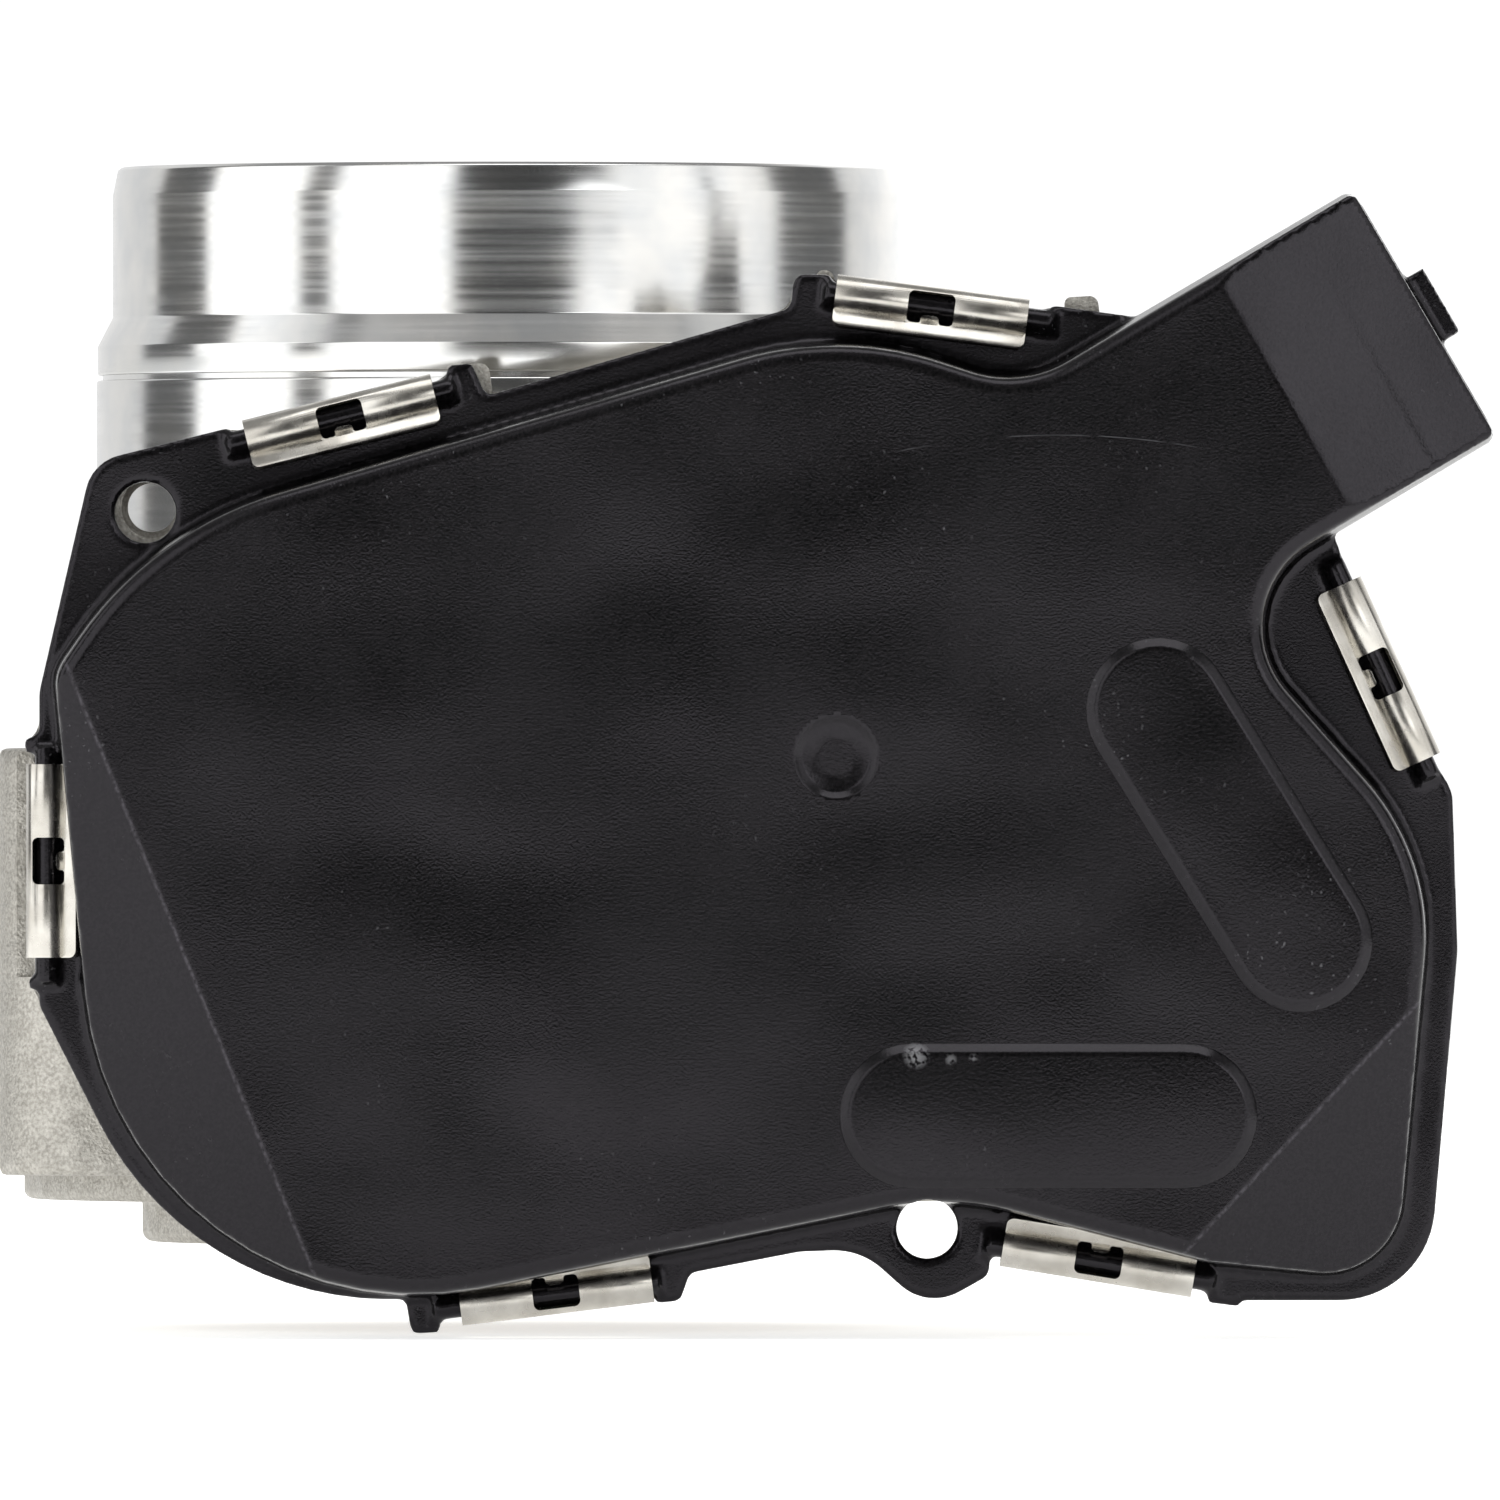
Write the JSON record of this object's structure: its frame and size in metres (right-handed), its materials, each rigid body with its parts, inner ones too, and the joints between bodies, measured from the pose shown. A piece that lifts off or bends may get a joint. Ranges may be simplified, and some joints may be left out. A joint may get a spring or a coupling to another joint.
{
  "type": "electronic throttle body",
  "caption": "Electronic throttle body: cast aluminium barrel with turned spigot, throttle plate on a sprung geared shaft, motor, and a black clipped-on gear cover with an angled connector.",
  "frame": {"origin": "centre of the bore at the plane of the manifold flange's lower face", "axes": "+Z along the bore towards the air inlet, -Y towards the gear cover, +X towards the connector"},
  "size_m": [0.1474, 0.1286, 0.1155],
  "materials": {
    "cast_aluminium": "satin",
    "moulded_black": "matte",
    "spring_steel": "polished",
    "steel": "satin",
    "brass": "satin",
    "copper": "satin",
    "rubber": "matte",
    "gear_nylon": "satin",
    "gear_dark": "satin",
    "magnet": "matte",
    "board_green": "satin",
    "carbon": "matte"
  },
  "bodies": {
    "housing": {"throttle_housing": "cast_aluminium", "gear_cover": "moulded_black", "cover_seal": "rubber", "manifold_seal": "rubber", "cover_clip_1": "spring_steel", "cover_clip_2": "spring_steel", "cover_clip_3": "spring_steel", "cover_clip_4": "spring_steel", "cover_clip_5": "spring_steel", "cover_clip_6": "spring_steel", "connector_pin_1": "brass", "connector_pin_2": "brass", "connector_pin_3": "brass", "connector_pin_4": "brass", "connector_pin_5": "brass", "connector_pin_6": "brass", "drive_side_bearing": "steel", "drive_side_shaft_seal": "rubber", "far_side_bearing": "steel", "far_side_shaft_seal": "rubber", "bearing_end_cap": "steel", "return_spring": "steel", "spring_sleeve": "gear_nylon", "closed_stop_screw": "steel", "intermediate_gear_pin": "steel", "motor_can": "steel", "motor_magnet_1": "magnet", "motor_magnet_2": "magnet", "motor_end_plate": "steel", "motor_screw_1": "steel", "motor_screw_2": "steel", "brush_holder": "moulded_black", "brush_1": "carbon", "brush_2": "carbon", "motor_terminal_1": "brass", "motor_terminal_2": "brass", "motor_front_bush": "brass", "motor_rear_bush": "brass", "motor_wave_spring": "spring_steel", "sensor_board": "board_green", "sensor_chip": "carbon"},
    "throttle": {"throttle_shaft": "steel", "throttle_plate": "brass", "plate_screw_1": "steel", "plate_screw_2": "steel", "sector_gear": "gear_dark", "sensor_magnet": "magnet"},
    "intermediate": {"intermediate_gear": "gear_nylon"},
    "armature": {"armature_shaft": "steel", "armature_core": "steel", "armature_windings": "copper", "commutator": "copper", "motor_pinion": "brass"}
  },
  "joints": [
    {"name": "throttle_turn", "type": "hinge", "parent": "housing", "child": "throttle", "pos_m": [0, 0, 0.038], "axis": [0, 1, 0], "range_deg": [-8, 80], "stiffness_Nm_per_rad": 0.3, "deforming": ["return_spring"]},
    {"name": "intermediate_turn", "type": "hinge", "parent": "housing", "child": "intermediate", "pos_m": [0.03198, 0, 0.04131], "axis": [0, 1, 0], "range_deg": [-320, 40]},
    {"name": "armature_turn", "type": "hinge", "parent": "housing", "child": "armature", "pos_m": [0.06207, 0, 0.02999], "axis": [0, 1, 0], "range_deg": [-130, 1240]}
  ],
  "couplings": [
    {"joint": "intermediate_turn", "follows": "throttle_turn", "ratio": -3.9231},
    {"joint": "armature_turn", "follows": "throttle_turn", "ratio": 15.391}
  ]
}
